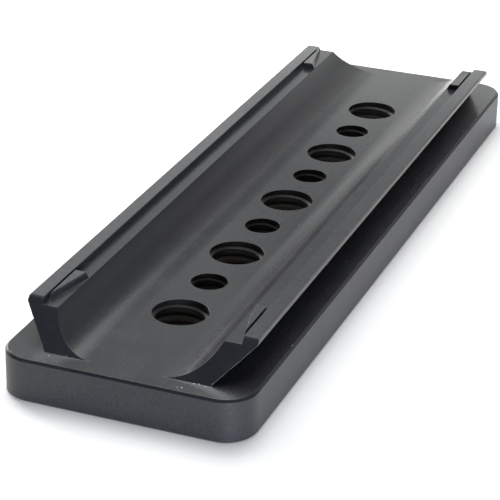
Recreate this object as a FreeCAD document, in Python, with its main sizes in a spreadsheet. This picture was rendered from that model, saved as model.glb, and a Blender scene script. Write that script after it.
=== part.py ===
import FreeCAD, Part
import os
import Sketcher

# A quick-release plate for a camera or lens foot, machined from one bar. It lies pad side down:
# Z is up, Y runs along the plate, and the origin is the middle of its underside.

# Driving sizes, in millimetres and degrees.
sizes = {
    "plate_length": 150.0,
    "plate_width": 42.8,
    "base_height": 7.6,
    "corner_radius": 5.4,
    "edge_break": 0.4,
    "rail_height": 6.5,
    "rail_inset": 3.6,
    "rail_end_angle": 44.0,
    "dovetail_width": 39.4,
    "dovetail_land": 0.9,
    "undercut_angle": 45.0,
    "undercut_radius": 0.12,
    "rail_edge_break": 0.2,
    "strip_width": 2.55,
    "ledge_width": 2.85,
    "ledge_drop": 1.05,
    "cove_radius": 9.2,
    "lug_length": 8.95,
    "lug_slot": 0.42,
    "lug_root_setback": 1.6,
    "lug_root_margin": 0.05,
    "lug_crest_setback": 2.65,
    "lug_crest_margin": 0.6,
    "hole_spacing": 12.5,
    "hole_margin": 24.0,
    "large_bore": 9.525,
    "small_bore": 6.35,
}

document = FreeCAD.newDocument("camera_plate")
sheet = document.addObject("Spreadsheet::Sheet", "Sizes")
for row, (alias, size) in enumerate(sizes.items(), start=1):
    cell = f"A{row}"
    sheet.set(cell, str(size))
    sheet.setAlias(cell, alias)
document.recompute()

body = document.addObject("PartDesign::Body", "camera_plate")
body.Label = "camera_plate"
origin = {feature.Role: feature for feature in body.Origin.OriginFeatures}

# Levels, and distances from the plate's middle, that several features share.
half_width = "(Sizes.plate_width / 2)"
half_length = "(Sizes.plate_length / 2)"
base_top = "Sizes.base_height"
rail_top = f"({base_top} + Sizes.rail_height)"
ledge_level = f"({rail_top} - Sizes.ledge_drop)"
ledge_rise = "(Sizes.rail_height - Sizes.ledge_drop)"
undercut_rise = "(Sizes.rail_height - Sizes.dovetail_land)"
dovetail_side = "(Sizes.dovetail_width / 2)"
strip_inner = f"({dovetail_side} - Sizes.strip_width)"
ledge_inner = f"({strip_inner} - Sizes.ledge_width)"
rail_end = f"({half_length} - Sizes.rail_inset)"
large_count = "(floor((Sizes.plate_length - 2 * Sizes.hole_margin) / (2 * Sizes.hole_spacing)) + 1)"


def new_sketch(name, plane, level=None):
    sketch = body.newObject("Sketcher::SketchObject", name)
    sketch.AttachmentSupport = [(origin[plane], "")]
    sketch.MapMode = "FlatFace"
    if level:
        sketch.setExpression("AttachmentOffset.Base.z", level)
    return sketch


def bind(sketch, size, kind, *places):
    value = float(sketch.evalExpression(size))
    index = sketch.addConstraint(Sketcher.Constraint(kind, *places, value))
    sketch.setExpression(f"Constraints[{index}]", size)


def hold(sketch, edge, end, across, along):
    # Ties one end of an edge to its two distances from the sketch's origin.
    bind(sketch, across, "DistanceX", -1, 1, edge, end)
    bind(sketch, along, "DistanceY", -1, 1, edge, end)


def place(sketch, corner):
    across, along = (float(sketch.evalExpression(size)) for size in corner)
    return FreeCAD.Vector(across, along, 0)


def add_chain(sketch, corners):
    # Draws straight edges from corner to corner and ties every corner to its two sizes.
    points = [place(sketch, corner) for corner in corners]
    edges = [sketch.addGeometry(Part.LineSegment(a, b)) for a, b in zip(points, points[1:])]
    for edge, following in zip(edges, edges[1:]):
        sketch.addConstraint(Sketcher.Constraint("Coincident", edge, 2, following, 1))
    for edge, corner in zip(edges, corners):
        hold(sketch, edge, 1, *corner)
    hold(sketch, edges[-1], 2, *corners[-1])
    return edges


def add_arc(sketch, start, finish, centre, side, radius):
    # Joins two edge ends, each an (edge, end) pair, by an arc on the given side of its centre.
    middle = centre + (side - centre).normalize() * float(sketch.evalExpression(radius))
    arc = sketch.addGeometry(Part.Arc(sketch.getPoint(*start), middle, sketch.getPoint(*finish)))
    sketch.addConstraint(Sketcher.Constraint("Coincident", arc, 1, *start))
    sketch.addConstraint(Sketcher.Constraint("Coincident", arc, 2, *finish))
    bind(sketch, radius, "Radius", arc)


def add_polygon(sketch, corners):
    # The same for a closed outline.
    points = [place(sketch, corner) for corner in corners]
    edges = [sketch.addGeometry(Part.LineSegment(a, b)) for a, b in zip(points, points[1:] + points[:1])]
    for edge, following, corner in zip(edges, edges[1:] + edges[:1], corners):
        sketch.addConstraint(Sketcher.Constraint("Coincident", edge, 2, following, 1))
        hold(sketch, edge, 1, *corner)


def add_feature(kind, name, sketch, **bound):
    feature = body.newObject(f"PartDesign::{kind}", name)
    feature.Profile = sketch
    for setting, size in bound.items():
        feature.setExpression(setting, size)
    return feature


def add_pattern(kind, name, feature):
    pattern = body.newObject(f"PartDesign::{kind}", name)
    pattern.Originals = [feature]
    body.Tip = pattern
    return pattern


def add_mirror(name, feature, plane):
    mirrored = add_pattern("Mirrored", name, feature)
    mirrored.MirrorPlane = (origin[plane], [""])
    document.recompute()


def add_edge_feature(kind, name, base, setting, size, chosen):
    # Fillets or chamfers every edge of the base feature that the test chooses.
    document.recompute()
    edges = [f"Edge{n}" for n, edge in enumerate(base.Shape.Edges, start=1) if chosen(edge.BoundBox)]
    feature = body.newObject(f"PartDesign::{kind}", name)
    feature.Base = (base, edges)
    feature.setExpression(setting, size)
    document.recompute()
    return feature


def make_base():
    # The base slab: rounded corners, and the edges of both faces broken all round.
    sketch = new_sketch("base_outline", "XY_Plane")
    left, near = f"(-{half_width})", f"(-{half_length})"
    add_polygon(sketch, [(left, near), (half_width, near), (half_width, half_length), (left, half_length)])
    slab = add_feature("Pad", "base_slab", sketch, Length=base_top)
    rounded = add_edge_feature("Fillet", "base_corners", slab, "Radius", "Sizes.corner_radius",
                               lambda box: box.ZLength > max(box.XLength, box.YLength))
    add_edge_feature("Chamfer", "base_edges", rounded, "Size", "Sizes.edge_break",
                     lambda box: box.ZLength < sizes["edge_break"])


def make_rails():
    # One dovetail rail, drawn as its section: undercut, land, raised strip, ledge and cove.
    # The cove is an arc that leaves the channel's floor level and rises to the ledge.
    sketch = new_sketch("rail_section", "XZ_Plane")
    cove_reach = f"sqrt({ledge_rise} * (2 * Sizes.cove_radius - {ledge_rise}))"
    cove_toe = (f"({ledge_inner} - {cove_reach})", base_top)
    undercut_foot = f"({dovetail_side} - {undercut_rise} * tan(Sizes.undercut_angle))"
    foot_reach = "(Sizes.undercut_radius / tan((90 - Sizes.undercut_angle) / 2))"
    floor_side = (f"({undercut_foot} + {foot_reach})", base_top)
    rail_side = (f"({undercut_foot} + {foot_reach} * sin(Sizes.undercut_angle))",
                 f"({base_top} + {foot_reach} * cos(Sizes.undercut_angle))")
    outer = [
        rail_side,
        (dovetail_side, f"({base_top} + {undercut_rise})"),
        (dovetail_side, f"({rail_top} - Sizes.rail_edge_break)"),
        (f"({dovetail_side} - Sizes.rail_edge_break)", rail_top),
        (strip_inner, rail_top),
        (strip_inner, ledge_level),
        (ledge_inner, ledge_level),
    ]
    floor_edge = add_chain(sketch, [cove_toe, floor_side])[0]
    edges = add_chain(sketch, outer)
    toe, lip = place(sketch, cove_toe), place(sketch, outer[-1])
    cove_centre = toe + FreeCAD.Vector(0, sizes["cove_radius"], 0)
    add_arc(sketch, (floor_edge, 1), (edges[-1], 2), cove_centre, (toe + lip) / 2, "Sizes.cove_radius")
    foot = place(sketch, (undercut_foot, base_top))
    foot_centre = place(sketch, floor_side) + FreeCAD.Vector(0, sizes["undercut_radius"], 0)
    add_arc(sketch, (edges[0], 1), (floor_edge, 2), foot_centre, foot, "Sizes.undercut_radius")
    rail = add_feature("Pad", "rail", sketch, Length=f"(2 * {rail_end})")
    rail.SideType = "Symmetric"
    document.recompute()
    add_mirror("rail_pair", rail, "YZ_Plane")


def make_rail_ends():
    # Both rails slope back from the base towards the plate's middle.
    sketch = new_sketch("rail_end_slope", "YZ_Plane")
    setback = "(Sizes.rail_height * tan(Sizes.rail_end_angle))"
    add_polygon(sketch, [(rail_end, base_top), (rail_end, rail_top), (f"({rail_end} - {setback})", rail_top)])
    slope = add_feature("Pocket", "rail_end", sketch)
    slope.SideType = "Symmetric"
    slope.Type = "ThroughAll"
    document.recompute()
    add_mirror("rail_ends", slope, "XZ_Plane")


def make_lugs():
    # A wedge-shaped stop lug near each end of each ledge, parted from the raised strip by a slot.
    # Its square face looks to the plate's middle, and it tapers to a point towards the plate's end.
    # Its inner side leans back, from a root that fills the ledge to a smaller crest.
    slot_side = f"({strip_inner} - Sizes.lug_slot)"
    ledge_end = f"({rail_end} - {ledge_rise} * tan(Sizes.rail_end_angle))"
    face = f"({ledge_end} - Sizes.lug_crest_setback - Sizes.lug_length)"
    outlines = []
    for part, level in (("root", ledge_level), ("crest", rail_top)):
        sketch = new_sketch(f"lug_{part}", "XY_Plane", level)
        tip = f"({ledge_end} - Sizes.lug_{part}_setback)"
        inner = f"({ledge_inner} + Sizes.lug_{part}_margin)"
        add_polygon(sketch, [(slot_side, tip), (slot_side, face), (inner, face)])
        outlines.append(sketch)
    lug = add_feature("AdditiveLoft", "lug", outlines[0])
    lug.Sections = outlines[1:]
    lug.Ruled = True
    document.recompute()
    lugs = add_pattern("MultiTransform", "lugs", lug)
    copies = []
    for name, plane in (("lugs_across", "YZ_Plane"), ("lugs_along", "XZ_Plane")):
        copy = body.newObject("PartDesign::Mirrored", name)
        copy.MirrorPlane = (origin[plane], [""])
        copies.append(copy)
    lugs.Transformations = copies
    body.Tip = lugs
    document.recompute()


def make_holes(name, bore, count):
    # A row of through bores, centred on the plate, for one of its two screw threads.
    sketch = new_sketch(f"{name}_centre", "XY_Plane", base_top)
    first = f"(({count} - 1) * Sizes.hole_spacing)"
    circle = Part.Circle(place(sketch, ("0", first)), FreeCAD.Vector(0, 0, 1), sizes[bore] / 2)
    centre = sketch.addGeometry(circle)
    sketch.addConstraint(Sketcher.Constraint("PointOnObject", centre, 3, -2))
    bind(sketch, first, "DistanceY", -1, 1, centre, 3)
    bind(sketch, f"Sizes.{bore}", "Diameter", centre)
    hole = add_feature("Pocket", f"{name}_hole", sketch)
    hole.SideType = "Symmetric"
    hole.Type = "ThroughAll"
    document.recompute()
    row = add_pattern("LinearPattern", f"{name}_row", hole)
    row.Direction = (origin["Y_Axis"], [""])
    row.Reversed = True
    row.setExpression("Length", f"2 * {first}")
    row.setExpression("Occurrences", count)
    document.recompute()


make_base()
make_rails()
make_rail_ends()
make_lugs()
make_holes("large", "large_bore", large_count)
make_holes("small", "small_bore", f"({large_count} - 1)")
document.recompute()

for item in document.Objects:
    if "Invalid" in item.State or "Error" in item.State:
        raise RuntimeError(f"{item.Label} failed: {item.State}")
shape = body.Shape
if shape.isNull() or not shape.isValid() or len(shape.Solids) != 1:
    raise RuntimeError(f"{body.Label} is not one valid solid")

os.makedirs("parts", exist_ok=True)
shape.exportStep(f"parts/{body.Label}.step")
print(body.Label, "volume", round(shape.Volume, 1), "mm3, box", shape.BoundBox)
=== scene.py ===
import math
import bpy
from mathutils import Matrix, Vector


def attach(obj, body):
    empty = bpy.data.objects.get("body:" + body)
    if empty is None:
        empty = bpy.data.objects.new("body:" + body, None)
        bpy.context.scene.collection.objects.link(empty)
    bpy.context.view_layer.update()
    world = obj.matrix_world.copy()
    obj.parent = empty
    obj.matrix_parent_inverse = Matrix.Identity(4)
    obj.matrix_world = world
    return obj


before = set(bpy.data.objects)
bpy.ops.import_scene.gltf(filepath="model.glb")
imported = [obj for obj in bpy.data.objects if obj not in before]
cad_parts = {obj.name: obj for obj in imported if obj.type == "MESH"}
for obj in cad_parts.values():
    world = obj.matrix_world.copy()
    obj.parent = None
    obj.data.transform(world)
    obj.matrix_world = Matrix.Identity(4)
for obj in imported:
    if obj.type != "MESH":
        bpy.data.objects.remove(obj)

mm = 0.001
scene = bpy.context.scene
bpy.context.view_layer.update()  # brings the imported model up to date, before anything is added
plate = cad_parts["camera_plate"]
slabTop = 7.6 * mm  # height of the slab's top, which is the channel's floor too
print("frame loaded:", sorted(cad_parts))


class Wire:
    # A socket that takes part in plain arithmetic; each operation adds a Math node.
    def __init__(self, tree, socket=None):
        self.tree = tree
        self.socket = socket

    def make(self, kind, settings=None, sockets=None, output=0):
        node = self.tree.nodes.new(kind)
        for name, value in (settings or {}).items():
            setattr(node, name, value)
        for key, value in (sockets or {}).items():
            if isinstance(value, Wire):
                self.tree.links.new(value.socket, node.inputs[key])
            else:
                node.inputs[key].default_value = value
        return Wire(self.tree, node.outputs[output] if len(node.outputs) else None)

    def calc(self, operation, *values):
        return self.make("ShaderNodeMath", {"operation": operation}, dict(enumerate(values)))

    def __add__(self, other):
        return self.calc("ADD", self, other)

    def __radd__(self, other):
        return self.calc("ADD", other, self)

    def __sub__(self, other):
        return self.calc("SUBTRACT", self, other)

    def __rsub__(self, other):
        return self.calc("SUBTRACT", other, self)

    def __mul__(self, other):
        return self.calc("MULTIPLY", self, other)

    def __abs__(self):
        return self.calc("ABSOLUTE", self)

    def larger(self, other):
        return self.calc("MAXIMUM", self, other)

    def fade(self, low, high):
        # 0 below low, 1 above high, smooth between them.
        return self.make("ShaderNodeMapRange", {"interpolation_type": "SMOOTHSTEP"},
                         {"Value": self, "From Min": low, "From Max": high})

    def blend(self, low, high):
        # Mixes two colours by this value; the Mix node's colours are sockets 6 and 7.
        return self.make("ShaderNodeMix", {"data_type": "RGBA"}, {0: self, 6: low, 7: high}, output=2)


def newMaterial(name):
    material = bpy.data.materials.new(name)
    material.use_nodes = True
    material.node_tree.nodes.clear()
    return material, Wire(material.node_tree)


def noise(wire, place, size, detail=2.0):
    return wire.make("ShaderNodeTexNoise", None, {"Vector": place, "Scale": 1.0 / size, "Detail": detail})


def stretched(wire, place, scale):
    return wire.make("ShaderNodeMapping", {"vector_type": "POINT"}, {"Vector": place, "Scale": scale})


def axes(wire, vector):
    node = wire.make("ShaderNodeSeparateXYZ", None, {0: vector}).socket.node
    return [Wire(wire.tree, socket) for socket in node.outputs]


def vectorMath(wire, operation, *vectors):
    # For the operations that give a plain number.
    settings = {"operation": operation}
    return wire.make("ShaderNodeVectorMath", settings, dict(enumerate(vectors)), output="Value")


# Areas of the plate that are finished in their own way; each pair is where the area starts or ends.
areaLimits = {
    "flatFacing": (0.90, 0.98),  # how far a face looks up, from -1 to 1
    "wallFacing": (0.30, 0.60),
    "wallHeight": (7.4 * mm, 7.6 * mm),
    "stripHeight": (13.7 * mm, 14.0 * mm),  # the strips along the tops of the rails
    "leftAcross": (-1.0 * mm, 1.0 * mm),
    "channelAcross": (7.5 * mm, 9.5 * mm),
    "channelHeight": (7.3 * mm, 7.5 * mm),
    "coveAcross": (8.0 * mm, 9.0 * mm),  # the steep part of the right cove
    "coveSteepest": (0.50, 0.60),
    "coveFlattest": (0.82, 0.92),
    "holeAcross": (4.85 * mm, 5.0 * mm),  # the holes below their first turns
    "holeAlong": (58.0 * mm, 60.0 * mm),
    "holeAbove": (4.9 * mm, 5.5 * mm),
    "holeBelow": (0.1 * mm, 0.3 * mm),
}


def findAreas(wire, place, normal):
    # Each area is 1 on its own faces and 0 elsewhere.
    across, along, height = axes(wire, place)
    facing = axes(wire, normal)[2]
    spots = {"facing": facing, "level": abs(facing), "across": across, "aside": abs(across),
             "along": abs(along), "height": height}

    def past(spot, limit):
        return spots[spot].fade(*areaLimits[limit])

    steep = past("facing", "coveSteepest") * (1.0 - past("facing", "coveFlattest"))
    notHole = past("aside", "holeAcross").larger(past("along", "holeAlong"))
    notHole = notHole.larger(past("height", "holeAbove")).larger(1.0 - past("height", "holeBelow"))
    return {
        "flat": past("facing", "flatFacing"),
        "wall": (1.0 - past("level", "wallFacing")) * (1.0 - past("height", "wallHeight")),
        "strip": past("height", "stripHeight"),
        "left": 1.0 - past("across", "leftAcross"),
        "channel": (1.0 - past("aside", "channelAcross")) * past("height", "channelHeight"),
        "cove": steep * past("across", "coveAcross"),
        "notHole": notHole,
    }


# Wear and painted highlights: sharp edges lightened in patches, partly wear and partly painted edge
# highlight; painted highlight lines along the dovetail's edges; the strips of the rails lightened by rubbing
# and painted sheen; and small bare specks.
wearAndHighlightLook = {
    # colour of worn edges, also used for the painted edge highlights
    "wornAndHighlight": (0.33, 0.30, 0.24, 1.0),
    # colour of bare specks, also used for the strips' painted sheen
    "bareAndSheen": (0.62, 0.62, 0.63, 1.0),
    "edges": 0.22,
    "edgeBend": (0.02, 0.25),
    "edgePatches": (0.35, 0.75),
    "least": 0.6,  # wear and painted highlights are uneven: their least share, and how much the patches add
    "patchy": 0.8,
    "core": 0.2,  # share of a painted highlight line's reach, squared, that is painted fully
    # painted highlight lines along the dovetail's lower edge and the strip's outer edge
    "highlightEdges": [
        {"across": 19.7 * mm, "height": 13.2 * mm, "reach": 0.09 * mm, "share": 0.50},
        {"across": 19.6 * mm, "height": 14.0 * mm, "reach": 0.16 * mm, "share": 0.16},
    ],
    # lightening of both strips: rubbing, partly painted sheen
    "bothStripsWearAndSheen": 0.035,
    "leftStripSheen": 0.035,  # painted sheen added on the left strip, which is lighter
    # specks, in mm: across, along, radius
    "specks": [
        (-13.1, -72.1, 0.12), (-10.4, -71.3, 0.13), (-8.2, -70.7, 0.10), (10.2, -73.4, 0.17),
        (9.5, -73.5, 0.11), (9.8, -65.8, 0.10), (11.4, -71.5, 0.14), (12.3, -71.4, 0.11),
        (13.4, -71.6, 0.11), (20.95, -53.7, 0.12),
    ],
    "speckCore": 0.5,  # share of a speck's radius that is quite bare
}


# Edge wear in patches, partly painted edge highlight, and the painted highlight lines along the dovetail's
# edges.
def findEdgeWearAndHighlights(wire, place, normal, rounded, patches, uneven):
    across, _, height = axes(wire, place)
    bend = 1.0 - vectorMath(wire, "DOT_PRODUCT", rounded, normal)
    wear = bend.fade(*wearAndHighlightLook["edgeBend"]) * patches.fade(*wearAndHighlightLook["edgePatches"]) * wearAndHighlightLook["edges"]
    for edge in wearAndHighlightLook["highlightEdges"]:
        aside = abs(across) - edge["across"]
        above = height - edge["height"]
        reach = edge["reach"] ** 2
        paintedEdgeLine = 1.0 - (aside * aside + above * above).fade(wearAndHighlightLook["core"] * reach, reach)
        wear = wear.larger(paintedEdgeLine * uneven * edge["share"])
    return wear


def findSpecks(wire, place):
    # 1 on the bare specks, 0 elsewhere.
    found = None
    for across, along, radius in wearAndHighlightLook["specks"]:
        away = vectorMath(wire, "DISTANCE", place, (across * mm, along * mm, slabTop))
        spot = 1.0 - away.fade(wearAndHighlightLook["speckCore"] * radius * mm, radius * mm)
        found = spot if found is None else found.larger(spot)
    return found


# Black anodised metal, satin, with fine grain and machining lines.
anodised = {
    "dark": (0.0085, 0.0088, 0.0110, 1.0),
    "light": (0.0275, 0.0280, 0.0320, 1.0),
    "paintedHoleLight": (0.085, 0.080, 0.072, 1.0),  # painted light deep in the holes, lifting their shade; the metal there is also made matt
    "shine": 1.5,  # refractive index
    "roughness": 0.30,
    "wallRougher": 0.12,  # the slab's walls, cut by the side of the tool
    "flatSmoother": 0.05,
    "stripSmoother": 0.04,
    "coveSmoother": 0.12,
    "wallContrast": 1.4,
    # painted shade on the channel's floor between the rails
    "channelPaintedShade": 0.35,
    "grainSize": 0.32 * mm,
    "cloudSize": 5.0 * mm,
    "patchSize": 1.4 * mm,
    "softDetail": 3.0,  # detail of the clouds and patches
    "lineSize": 0.30 * mm,
    "lineStretch": 60.0,
    "grainTone": 0.75,  # shares of the grain and the clouds in the tone
    "cloudTone": 0.25,
    "grainRough": 0.08,  # and in the roughness, with the lines
    "cloudRough": 0.08,
    "lineRough": 0.07,
    "edgeRadius": 0.10 * mm,
    "edgeSamples": 8,
    "bumpStrength": 0.24,
    "bumpDepth": 0.02 * mm,
    "bumpShare": 0.5,  # of the grain and of the lines, each
}


def findLines(wire, place, wall):
    # Machining lines: along the plate, but upright on the slab's walls.
    narrow = 1.0 / anodised["lineStretch"]
    lengthwise = noise(wire, stretched(wire, place, (1.0, narrow, 1.0)), anodised["lineSize"])
    upright = noise(wire, stretched(wire, place, (1.0, 1.0, narrow)), anodised["lineSize"])
    return lengthwise + wall * (upright - lengthwise)


def makeAnodised(name, light, shine, rougher, specks):
    look = anodised
    material, wire = newMaterial(name)
    place = wire.make("ShaderNodeTexCoord", output="Object")
    normal = wire.make("ShaderNodeNewGeometry", output="True Normal")
    areas = findAreas(wire, place, normal)
    grain = noise(wire, place, look["grainSize"])
    cloud = noise(wire, place, look["cloudSize"], look["softDetail"])
    patches = noise(wire, place, look["patchSize"], look["softDetail"])
    lines = findLines(wire, place, areas["wall"])
    rounded = wire.make("ShaderNodeBevel", {"samples": look["edgeSamples"]}, {"Radius": look["edgeRadius"]})

    uneven = wearAndHighlightLook["least"] + patches * wearAndHighlightLook["patchy"]
    spread = cloud * look["cloudTone"] + grain * look["grainTone"] - 0.5
    spread = spread * (1.0 + areas["wall"] * look["wallContrast"])
    # the channel between the rails darkened: painted shade
    colour = (spread + 0.5 - areas["channel"] * look["channelPaintedShade"]).blend(look["dark"], light)
    # the strips lightened: rubbing with painted sheen, more painted sheen on the left strip
    stripWearAndSheen = wearAndHighlightLook["bothStripsWearAndSheen"] + areas["left"] * wearAndHighlightLook["leftStripSheen"]
    colour = (areas["strip"] * uneven * stripWearAndSheen).blend(colour, wearAndHighlightLook["bareAndSheen"])
    # edges lightened: wear, partly painted highlight
    edgeWearAndHighlight = findEdgeWearAndHighlights(wire, place, normal, rounded, patches, uneven)
    colour = edgeWearAndHighlight.blend(colour, wearAndHighlightLook["wornAndHighlight"])
    if specks:
        colour = findSpecks(wire, place).blend(colour, wearAndHighlightLook["bareAndSheen"])
    # deep in the holes, painted light lifts the shade
    colour = areas["notHole"].blend(look["paintedHoleLight"], colour)

    roughness = rougher + look["roughness"] + areas["wall"] * look["wallRougher"]
    for area in ("flat", "strip", "cove"):
        roughness = roughness - areas[area] * look[area + "Smoother"]
    for texture, share in ((grain, "grainRough"), (cloud, "cloudRough"), (lines, "lineRough")):
        roughness = roughness + (texture - 0.5) * look[share]
    roughness = 1.0 - areas["notHole"] * (1.0 - roughness)

    relief = grain * look["bumpShare"] + lines * look["bumpShare"]
    bump = wire.make("ShaderNodeBump", None, {
        "Strength": look["bumpStrength"], "Distance": look["bumpDepth"], "Height": relief, "Normal": rounded})
    shader = wire.make("ShaderNodeBsdfPrincipled", None, {
        "Base Color": colour, "Roughness": roughness, "Normal": bump, "Metallic": 0.0, "IOR": shine})
    wire.make("ShaderNodeOutputMaterial", None, {"Surface": shader})
    return material


plateFinish = makeAnodised("anodised_plate", anodised["light"], anodised["shine"], rougher=0.0, specks=True)
plate.data.materials.clear()
plate.data.materials.append(plateFinish)
print("plate finished")


# Screw threads: one ridge that winds down each bore.
largeThread = {
    "name": "large_thread",
    "bore": 9.525 * mm,
    "crest": 8.55 * mm,
    "pitch": 1.5875 * mm,
    "farDepth": 1.05 * mm,  # depth of the first whole turn, on the far side
    "startDepth": 0.70 * mm,  # the ridge is cut off at this depth, at both ends
    "shine": 1.40,
    "places": [-50.0 * mm, -25.0 * mm, 0.0, 25.0 * mm, 50.0 * mm],
}
smallThread = {
    "name": "small_thread",
    "bore": 6.35 * mm,
    "crest": 5.70 * mm,
    "pitch": 1.27 * mm,
    "farDepth": 0.95 * mm,
    "startDepth": 0.65 * mm,
    "shine": 1.25,
    "places": [-37.5 * mm, -12.5 * mm, 12.5 * mm, 37.5 * mm],
}
ridge = {
    "sink": 0.03 * mm,  # how far the ridge's foot lies in the wall
    "foot": 0.62,  # widths at the wall and at the crest, as shares of the pitch
    "tip": 0.20,
    "spareBelow": 1,  # turns past the hole's ends, which are cut off
    "spareAbove": 2,
    "steps": 64,
    "smoothAngle": 30.0,
    "tone": (0.032, 0.028, 0.019, 1.0),
    "rougher": 0.20,
}


def deselectAll():
    if bpy.context.object and bpy.context.object.mode != "OBJECT":
        bpy.ops.object.mode_set(mode="OBJECT")
    bpy.ops.object.select_all(action="DESELECT")


def drawRidge(thread, start):
    # The ridge's cross-section beside the hole's axis: an outline, narrower at the crest.
    outer = thread["bore"] / 2 + ridge["sink"]
    inner = thread["crest"] / 2
    middle = (outer + inner) / 2
    deselectAll()
    bpy.ops.mesh.primitive_plane_add(size=1.0, rotation=(math.pi / 2, 0, 0))
    piece = bpy.context.object
    piece.name = thread["name"]
    bpy.ops.object.transform_apply(location=False, rotation=True, scale=False)
    bpy.ops.object.mode_set(mode="EDIT")
    bpy.ops.mesh.select_all(action="SELECT")
    bpy.ops.transform.resize(value=(outer - inner, 1.0, thread["pitch"] * ridge["foot"]))
    bpy.ops.transform.translate(value=(middle, 0, start))
    bpy.ops.mesh.delete(type="ONLY_FACE")
    bpy.ops.mesh.select_all(action="DESELECT")
    bpy.ops.object.mode_set(mode="OBJECT")
    for vertex in piece.data.vertices:
        vertex.select = vertex.co.x < middle
    bpy.ops.object.mode_set(mode="EDIT")
    bpy.ops.transform.resize(value=(1.0, 1.0, ridge["tip"] / ridge["foot"]))
    bpy.ops.object.mode_set(mode="OBJECT")
    return piece


def makeThread(thread):
    pitch = thread["pitch"]
    turnsBelow = math.ceil(slabTop / pitch) + ridge["spareBelow"]
    farMiddle = slabTop - thread["farDepth"] - pitch * ridge["foot"] / 2
    piece = drawRidge(thread, farMiddle - pitch / 4 - turnsBelow * pitch)  # the far side is a quarter turn on
    screw = piece.modifiers.new("winding", "SCREW")
    screw.axis = "Z"
    screw.screw_offset = pitch
    screw.iterations = turnsBelow + ridge["spareAbove"]
    screw.steps = screw.render_steps = ridge["steps"]
    screw.use_merge_vertices = False
    bpy.ops.object.modifier_apply(modifier=screw.name)
    bpy.ops.object.mode_set(mode="EDIT")
    for level, side in ((slabTop - thread["startDepth"], 1), (thread["startDepth"], -1)):
        bpy.ops.mesh.select_all(action="SELECT")
        bpy.ops.mesh.bisect(plane_co=(0, 0, level), plane_no=(0, 0, side), use_fill=False, clear_outer=True)
    bpy.ops.mesh.select_all(action="SELECT")
    bpy.ops.mesh.fill_holes(sides=0)
    bpy.ops.mesh.select_all(action="SELECT")
    bpy.ops.mesh.normals_make_consistent(inside=False)
    bpy.ops.object.mode_set(mode="OBJECT")
    bpy.ops.object.shade_smooth_by_angle(angle=math.radians(ridge["smoothAngle"]))
    return piece


for thread in (largeThread, smallThread):
    finishName = thread["name"] + "_finish"
    finish = makeAnodised(finishName, ridge["tone"], thread["shine"], ridge["rougher"], specks=False)
    first = makeThread(thread)
    for number, along in enumerate(thread["places"], start=1):
        piece = first.copy()
        piece.data = first.data.copy()
        piece.name = f"{thread['name']}_{number}"
        piece.data.transform(Matrix.Translation((0, along, 0)))
        piece.data.materials.clear()
        piece.data.materials.append(finish)
        scene.collection.objects.link(piece)
        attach(piece, "root")
    bpy.data.objects.remove(first)
    print(thread["name"], "made:", len(thread["places"]))


# The floor: white to the eye and in reflections, with the plate's soft shadow on it.
floorLook = {
    "size": 6.0,
    "drop": 0.03 * mm,  # gap under the plate
    "light": (0.86, 0.86, 0.86, 1.0),
    "dark": (0.83, 0.83, 0.83, 1.0),
    "mottle": 40.0 * mm,
    "mottleDetail": 3.0,
    "lift": 0.20,  # glow that is seen and reflected, but lights nothing matt
    "whiteAway": (0.20, 0.40),  # distances between which the floor turns to plain white
}


def makeFloor():
    look = floorLook
    deselectAll()
    bpy.ops.mesh.primitive_plane_add(size=look["size"], location=(0, 0, -look["drop"]))
    floor = bpy.context.object
    floor.name = "floor"
    material, wire = newMaterial("floor_paint")
    place = wire.make("ShaderNodeTexCoord", output="Object")
    mottle = noise(wire, place, look["mottle"], look["mottleDetail"]).blend(look["dark"], look["light"])
    paint = wire.make("ShaderNodeBsdfDiffuse", None, {"Color": mottle})
    glow = wire.make("ShaderNodeEmission", None, {"Strength": look["lift"]})
    near = wire.make("ShaderNodeAddShader", None, {0: paint, 1: glow})
    away = vectorMath(wire, "LENGTH", place)
    white = wire.make("ShaderNodeEmission", None, {"Strength": 1.0})
    shown = wire.make("ShaderNodeMixShader", None, {0: away.fade(*look["whiteAway"]), 1: near, 2: white})
    seen = wire.make("ShaderNodeLightPath", output="Is Camera Ray")
    mirrored = wire.make("ShaderNodeLightPath", output="Is Glossy Ray")
    through = wire.make("ShaderNodeLightPath", output="Is Transmission Ray")
    looked = seen.larger(mirrored).larger(through)
    surface = wire.make("ShaderNodeMixShader", None, {0: looked, 1: paint, 2: shown})
    wire.make("ShaderNodeOutputMaterial", None, {"Surface": surface})
    floor.data.materials.append(material)


makeFloor()
print("floor laid")


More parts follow.
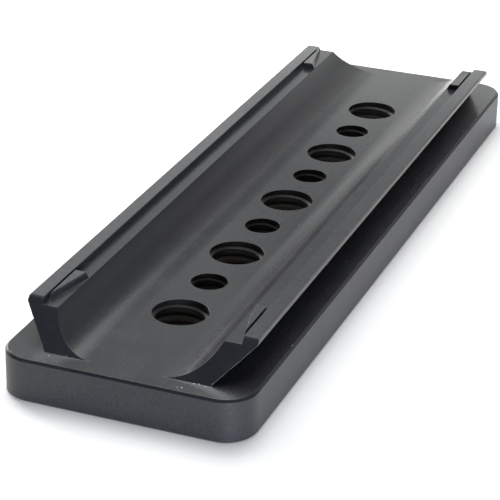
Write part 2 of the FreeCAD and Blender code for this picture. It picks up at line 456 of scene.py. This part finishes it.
# Lamps: azimuth is measured from +Y towards -X, elevation from the floor, both in degrees.
lamps = [
    {"name": "low_left_back", "azimuth": 38.0, "elevation": 25.5, "distance": 0.45, "size": (0.224, 0.134),
     "radiance": 0.75, "color": (0.95, 1.00, 0.99)},
    {"name": "low_left", "azimuth": 34.0, "elevation": 8.0, "distance": 0.45, "size": (0.160, 0.100),
     "radiance": 0.30, "color": (1.00, 1.00, 1.00)},
    {"name": "low_back", "azimuth": 14.5, "elevation": 9.0, "distance": 0.45, "size": (0.150, 0.126),
     "radiance": 0.51, "color": (1.00, 0.99, 0.98)},
    {"name": "back_edge", "azimuth": 14.5, "elevation": 18.5, "distance": 0.44, "size": (0.150, 0.035),
     "radiance": 0.82, "color": (0.98, 1.00, 0.98)},
    {"name": "back", "azimuth": 14.5, "elevation": 26.5, "distance": 0.45, "size": (0.150, 0.150),
     "radiance": 0.32, "color": (0.93, 0.97, 1.00)},
    {"name": "right_back", "azimuth": -4.5, "elevation": 26.5, "distance": 0.45, "size": (0.150, 0.150),
     "radiance": 0.52, "color": (1.00, 1.00, 1.00)},
    {"name": "far_right_back", "azimuth": -32.0, "elevation": 26.5, "distance": 0.45, "size": (0.290, 0.150),
     "radiance": 0.18, "color": (1.00, 1.00, 1.00)},
    {"name": "near_right_back", "azimuth": -32.0, "elevation": 15.0, "distance": 0.21, "size": (0.140, 0.060),
     "radiance": 0.30, "color": (1.00, 1.00, 1.00)},
    {"name": "near_back", "azimuth": 5.0, "elevation": 10.5, "distance": 0.155, "size": (0.140, 0.045),
     "radiance": 0.56, "color": (0.98, 1.00, 0.98)},
    {"name": "left_back", "azimuth": 62.0, "elevation": 22.0, "distance": 0.45, "size": (0.200, 0.240),
     "radiance": 12.5, "color": (1.00, 1.00, 1.00)},
    {"name": "upper_back", "azimuth": 20.0, "elevation": 56.0, "distance": 0.60, "size": (0.40, 0.30),
     "radiance": 3.74, "color": (0.97, 1.00, 1.00)},
    {"name": "upper_left", "azimuth": 50.0, "elevation": 62.0, "distance": 0.60, "size": (0.36, 0.30),
     "radiance": 2.40, "color": (1.00, 1.00, 1.00)},
    {"name": "top", "azimuth": 20.0, "elevation": 85.0, "distance": 0.60, "size": (0.40, 0.40),
     "radiance": 3.95, "color": (1.00, 0.99, 0.97)},
    {"name": "low_front", "azimuth": 216.0, "elevation": 5.0, "distance": 0.50, "size": (0.30, 0.08),
     "radiance": 36.0, "color": (0.77, 0.85, 1.00)},
]
surround = {"color": (0.95, 0.97, 1.0, 1.0), "strength": 0.02}


def outward(azimuth, elevation):
    turn = Matrix.Rotation(math.radians(azimuth), 3, "Z")
    rise = Matrix.Rotation(math.radians(elevation), 3, "X")
    return turn @ rise @ Vector((0, 1, 0))


def hangLamp(lamp):
    back = outward(lamp["azimuth"], lamp["elevation"])
    width, depth = lamp["size"]
    bpy.ops.object.light_add(type="AREA", location=back * lamp["distance"])
    light = bpy.context.object
    light.name = lamp["name"]
    light.rotation_euler = back.to_track_quat("Z", "Y").to_euler()
    light.data.shape = "RECTANGLE"
    light.data.size = width
    light.data.size_y = depth
    light.data.energy = lamp["radiance"] * math.pi * width * depth
    light.data.color = lamp["color"]


def lightSurround():
    world = bpy.data.worlds.new("surround")
    world.use_nodes = True
    background = world.node_tree.nodes["Background"]
    background.inputs["Color"].default_value = surround["color"]
    background.inputs["Strength"].default_value = surround["strength"]
    scene.world = world


for lamp in lamps:
    hangLamp(lamp)
lightSurround()
print("lamps hung:", len(lamps))


# Camera: seen from in front and above, a little to the right, with a long lens.
shot = {
    "azimuth": 200.91,  # measured as for the lamps
    "elevation": 25.104,
    "roll": 1.162,
    "distance": 357.809 * mm,
    "target": (1.684 * mm, -23.007 * mm, 7.6 * mm),
    "sensor": 36.0,
    "focal": 2042.019,  # in pixels of the picture
    "picture": 500,
    "clipStart": 10.0 * mm,
}


def setCamera():
    back = outward(shot["azimuth"], shot["elevation"])
    level = outward(shot["azimuth"] + 90.0, 0.0)
    right = Matrix.Rotation(math.radians(shot["roll"]), 3, back) @ level
    turn = Matrix((right, back.cross(right), back)).transposed()
    bpy.ops.object.camera_add(location=Vector(shot["target"]) + back * shot["distance"])
    camera = bpy.context.object
    camera.rotation_euler = turn.to_euler()
    camera.data.sensor_width = shot["sensor"]
    camera.data.lens = shot["focal"] * shot["sensor"] / shot["picture"]
    camera.data.clip_start = shot["clipStart"]
    scene.camera = camera


setCamera()
scene.view_settings.view_transform = "Standard"
print("camera set")
